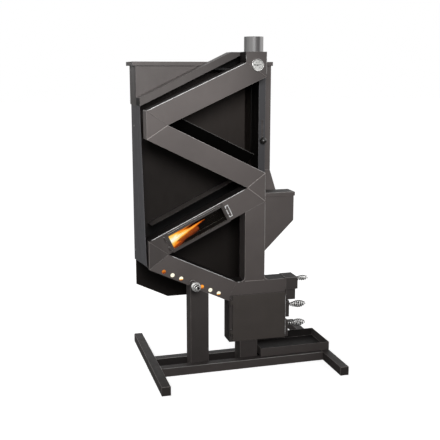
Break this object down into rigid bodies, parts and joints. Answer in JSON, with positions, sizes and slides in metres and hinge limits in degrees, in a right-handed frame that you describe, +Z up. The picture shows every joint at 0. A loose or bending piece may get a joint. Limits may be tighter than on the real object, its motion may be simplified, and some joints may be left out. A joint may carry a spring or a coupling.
{
  "type": "pellet stove",
  "caption": "Gravity-fed pellet stove on a tube stand: zigzag square flue in an open casing, rear hopper, side feed box, burner box with drawers, small fire window, coil handles.",
  "frame": {"origin": "on the floor, at the bottom centre of the outside box", "axes": "+X to the right of someone who faces the window, +Y to the back, +Z up"},
  "size_m": [0.84, 0.664, 1.419],
  "materials": {
    "charcoal_paint": "satin",
    "black_paint": "matt",
    "bare_steel": "dull",
    "bright_steel": "polished",
    "dial": "gloss",
    "glass": "clear",
    "black_plastic": "matt"
  },
  "bodies": {
    "stove": {"foot_left": "charcoal_paint", "foot_right": "charcoal_paint", "foot_end_plates": "charcoal_paint", "rail_front": "charcoal_paint", "rail_back": "charcoal_paint", "main_post": "charcoal_paint", "short_post": "charcoal_paint", "burner_box": "charcoal_paint", "burner_door_pins": "bare_steel", "burn_tube": "charcoal_paint", "flue_run_1": "charcoal_paint", "flue_run_2": "charcoal_paint", "flue_run_3": "charcoal_paint", "flue_run_4": "charcoal_paint", "corner_upper_left": "charcoal_paint", "corner_right": "charcoal_paint", "corner_lower_left": "charcoal_paint", "feed_tube": "charcoal_paint", "flue_box": "charcoal_paint", "flue_collar": "bare_steel", "window_hinge_pins": "bare_steel", "window_catch": "bright_steel", "thermometer_case": "dial", "thermometer_glass": "glass", "casing_left_wall": "charcoal_paint", "casing_roof": "charcoal_paint", "casing_right_wall": "charcoal_paint", "casing_back_panel": "black_paint", "heat_deflector": "black_paint", "lower_heat_deflector": "black_paint", "casing_screws": "bare_steel", "hopper": "charcoal_paint", "hopper_hinge_rod": "bare_steel", "feed_chute": "charcoal_paint", "feed_box": "charcoal_paint"},
    "tray": {"pellet_tray": "charcoal_paint"},
    "door": {"burner_door": "charcoal_paint"},
    "burner_drawer": {"burner_drawer_front": "charcoal_paint", "burner_basket": "bare_steel", "burner_handle_stem": "bright_steel", "burner_handle_coil": "bright_steel"},
    "ash_drawer": {"ash_drawer_front": "charcoal_paint", "ash_pan": "bare_steel", "ash_handle_stem": "bright_steel", "ash_handle_coil": "bright_steel"},
    "air_intake": {"intake_sleeve": "charcoal_paint", "intake_handle_stem": "bright_steel", "intake_handle_coil": "bright_steel"},
    "window": {"window_frame": "charcoal_paint", "window_glass": "glass"},
    "latch": {"window_latch": "bright_steel"},
    "lighting_plug": {"lighting_port_plug": "charcoal_paint", "port_handle_stem": "bright_steel", "port_handle_coil": "bright_steel"},
    "needle": {"thermometer_needle": "black_plastic"},
    "lid": {"hopper_lid": "charcoal_paint"},
    "feed_lid": {"feed_box_lid": "charcoal_paint"},
    "gate": {"gate_blade": "bare_steel", "gate_rod": "bare_steel", "gate_knob": "black_plastic"}
  },
  "joints": [
    {"name": "tray_slide", "type": "slide", "parent": "stove", "child": "tray", "axis": [1, 0, 0], "range_m": [0, 0.2]},
    {"name": "burner_door_hinge", "type": "hinge", "parent": "stove", "child": "door", "pos_m": [-0.04, -0.1085, 0.2265], "axis": [0, 0, -1], "range_deg": [0, 110]},
    {"name": "burner_drawer_slide", "type": "slide", "parent": "stove", "child": "burner_drawer", "axis": [1, 0, 0], "range_m": [0, 0.18]},
    {"name": "ash_drawer_slide", "type": "slide", "parent": "stove", "child": "ash_drawer", "axis": [1, 0, 0], "range_m": [0, 0.2]},
    {"name": "air_intake_slide", "type": "slide", "parent": "stove", "child": "air_intake", "axis": [1, 0, 0], "range_m": [0, 0.025]},
    {"name": "window_hinge", "type": "hinge", "parent": "stove", "child": "window", "pos_m": [-0.31598, -0.109, 0.57046], "axis": [0.4384, 0, -0.8988], "range_deg": [0, 110]},
    {"name": "window_latch_hinge", "type": "hinge", "parent": "window", "child": "latch", "pos_m": [-0.05847, -0.109, 0.69606], "axis": [0.4384, 0, -0.8988], "range_deg": [0, 90]},
    {"name": "lighting_plug_slide", "type": "slide", "parent": "stove", "child": "lighting_plug", "axis": [0, -1, 0], "range_m": [0, 0.05]},
    {"name": "needle_hinge", "type": "hinge", "parent": "stove", "child": "needle", "pos_m": [0.071, -0.1084, 1.304], "axis": [0, 1, 0], "range_deg": [0, 200], "stiffness_Nm_per_rad": 0.005},
    {"name": "hopper_lid_hinge", "type": "hinge", "parent": "stove", "child": "lid", "pos_m": [-0.105, 0.249, 1.311], "axis": [-1, 0, 0], "range_deg": [0, 95]},
    {"name": "feed_lid_lift", "type": "slide", "parent": "stove", "child": "feed_lid", "axis": [0, 0, 1], "range_m": [0, 0.06]},
    {"name": "gate_lift", "type": "slide", "parent": "stove", "child": "gate", "axis": [0, 0, 1], "range_m": [0, 0.08]}
  ]
}
